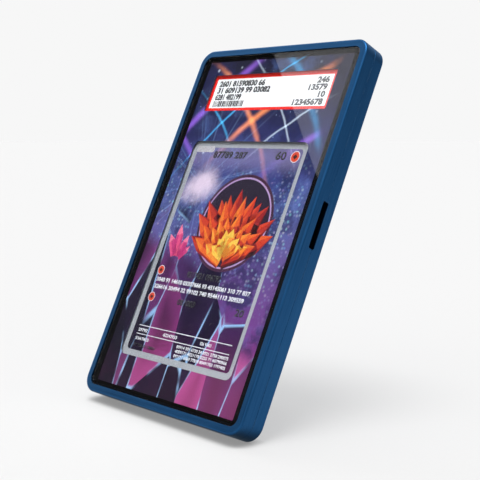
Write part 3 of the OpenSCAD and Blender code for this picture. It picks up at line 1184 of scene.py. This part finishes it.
def card_emblem():
    """A ring with a burst of flame coloured crystals, a rosy cluster and the small round marks."""
    draw = random.Random(5)
    top = card_y + card_h / 2
    low = card_y - card_h / 2
    left = -card_w / 2 + 6.4
    right = card_w / 2 - 5.4
    parts = []
    for layer, (share, colour) in enumerate(EMBLEM_RINGS):
        ring = flat_disc(*EMBLEM_CENTRE, share * EMBLEM_RADIUS, 96)
        parts.append(lift(tint(ring, colour), layer))
    crystal = flat_crystal()
    foot = (EMBLEM_CENTRE[0], EMBLEM_CENTRE[1] - BURST_DROP)
    parts += crystal_burst(crystal, foot, draw)
    parts += rosy_cluster(crystal, draw)
    bpy.data.objects.remove(crystal)
    parts += round_mark(right - 0.4, top - 5.6, 2.3)
    parts += round_mark(left, low + 34.4, 1.9)
    parts += round_mark(left, low + 23.6, 1.9)
    tag = flat_plate(-card_w / 2 + 7.4, top - 3.3, 10.5, 2.6, 0.9)
    parts.append(lift(tint(tag, TAG_COLOUR), UPPER_LAYER))
    lay_print("card_emblem", parts, card_front + LAYER, "slab", colour_ink)


label_text()
card_text()
card_emblem()

# Studio

FLOOR_SIZE = 16.0
FLOOR_SHADE = 0.28
FLOOR_UNEVEN = 0.01
FLOOR_GLOW = 0.474
BACKDROP = 0.93
SUN_POWER = 2.3
SUN_SPREAD = 30
SUN_WAY = (-0.06, 0.19, -0.98)

# The painted shadow where the case meets the floor: how far it reaches in m, how dark
# the floor gets, the openness at which it is full and ends, and the mm past and inside the
# case's width between which it fades in
CONTACT_REACH = 0.0045
CONTACT_LOW = 0.55
CONTACT_SHUT = 0.35
CONTACT_OPEN = 0.97
CONTACT_PAST = 3
CONTACT_INSIDE = 5

# The room by the height of a direction, and what multiplies it from the front to the back
ROOM = ((0.0, grey(0.80)), (0.5, (0.76, 0.76, 0.77)), (1.0, grey(0.95)))
FRONT_TO_BACK = ((0.0, grey(1.30)), (0.35, grey(1.20)), (0.6, grey(1.0)))

# Parts of the room that the rims and the edges mirror: the direction of their middle,
# the cosines to it where they start and are full, and their grey
LEFT_LAMP = (Vector((-0.93, 0.10, 0.30)), 0.86, 0.96, 3.2)
SIDE_WALL = (Vector((0.72, 0.58, 0.38)), 0.70, 0.96, 0.28)
BEHIND_CAMERA = (CAMERA_PLACE - CAMERA_AIM, 0.78, 0.96, 0.36)

# A dark flag in front of the window. The glare lies past its straight edge, which crosses
# the photograph's pixels GLARE_EDGE, on the side of GLARE_SIDE.
FLAG_COS = 0.968
FLAG_SOFT = 0.03
FLAG_SHADE = 0.03
GLARE_EDGE = ((274, 53), (316, 172))
GLARE_SIDE = (340, 80)
GLARE_TINT = (0.78, 0.78, 0.79)
GLARE_SOFT = 0.0012


def floor_contact(paint, place):
    """Painted contact shadow: darkens the floor under the case's lower edge: 1 in the open,
    CONTACT_LOW where it touches.
    """
    aside = paint.absolute(paint.split(place)[0])
    past = (case_w / 2 + CONTACT_PAST) * MM
    inside = (case_w / 2 - CONTACT_INSIDE) * MM
    within = paint.step(aside, past, inside)
    openness = paint.openness(12, CONTACT_REACH)
    shut = paint.fit(openness, CONTACT_SHUT, CONTACT_OPEN, 1.0 - CONTACT_LOW, 0.0)
    return paint.minus(1.0, paint.times(within, shut))


def studio_floor():
    """A wide sheet of pale paper that also gives off a little light."""
    deselect()
    bpy.ops.mesh.primitive_plane_add(size=FLOOR_SIZE, location=(0, 0, 0))
    floor = bpy.context.object
    floor.name = "studio_floor"
    material, paint, shader = new_material("studio_paper")
    place = paint.add("TexCoord").outputs["Object"]
    tooth = paint.noise(place, 900, 2.0)["Fac"]
    contact = floor_contact(paint, place)
    shade = paint.mix(tooth, grey(FLOOR_SHADE - FLOOR_UNEVEN), grey(FLOOR_SHADE + FLOOR_UNEVEN))
    # Painted contact shadow: the mask darkens both the paper's colour and its glow
    paint.set(shader, Base_Color=paint.mix(1.0, shade, contact, "MULTIPLY"))
    paint.set(shader, Emission_Color=contact, Emission_Strength=FLOOR_GLOW)
    paint.set(shader, Roughness=0.9, Specular_IOR_Level=0.0)
    floor.data.materials.append(material)


def overhead_light():
    sun = bpy.data.lights.new("overhead", "SUN")
    sun.energy = SUN_POWER
    sun.angle = math.radians(SUN_SPREAD)
    light = bpy.data.objects.new("overhead", sun)
    light.rotation_euler = Vector(SUN_WAY).to_track_quat("-Z", "Y").to_euler()
    bpy.context.scene.collection.objects.link(light)


def mirrored(ray):
    """Where a ray goes after the window mirrors it."""
    return ray - OUTWARD * 2 * ray.dot(OUTWARD)


def room_light(paint, direction):
    """The pale room with the parts of it that the rims and the edges mirror."""
    _, depth, up = paint.split(direction)
    along = paint.ramp(paint.fit(depth, -1, 1, 0, 1), FRONT_TO_BACK)
    room = paint.mix(1.0, paint.ramp(up, ROOM), along, "MULTIPLY")
    for way, start, full, shade in (LEFT_LAMP, SIDE_WALL, BEHIND_CAMERA):
        near = paint.step(paint.dot(direction, tuple(way.normalized())), start, full)
        room = paint.mix(near, room, grey(shade))
    return room


def flag_and_glare(paint, direction, room):
    """The dark flag that the window mirrors, and the glare past its edge."""
    view = mirrored((CAMERA_AIM - CAMERA_PLACE).normalized())
    facing = paint.step(paint.dot(direction, tuple(view)), FLAG_COS - FLAG_SOFT, FLAG_COS)
    first, second = [mirrored(camera_ray(*pixel)) for pixel in GLARE_EDGE]
    beyond = first.cross(second).normalized()
    if mirrored(camera_ray(*GLARE_SIDE)).dot(beyond) < 0:
        beyond = -beyond
    flagged = paint.step(paint.dot(direction, tuple(beyond)), GLARE_SOFT, -GLARE_SOFT)
    room = paint.mix(paint.times(facing, flagged), room, grey(FLAG_SHADE))
    return paint.mix(paint.times(facing, paint.minus(1.0, flagged)), room, GLARE_TINT)


def studio_world():
    """The room that lights the case; the camera itself sees a plain pale backdrop."""
    world = bpy.data.worlds.new("studio")
    world.use_nodes = True
    bpy.context.scene.world = world
    paint = Painter(world.node_tree)
    direction = paint.add("TexCoord").outputs["Generated"]
    room = flag_and_glare(paint, direction, room_light(paint, direction))
    seen = paint.add("LightPath").outputs["Is Camera Ray"]
    background = world.node_tree.nodes["Background"]
    paint.set(background, Color=paint.mix(seen, room, grey(BACKDROP)), Strength=1.0)


studio_floor()
overhead_light()
studio_world()
bpy.context.scene.view_settings.view_transform = "Standard"
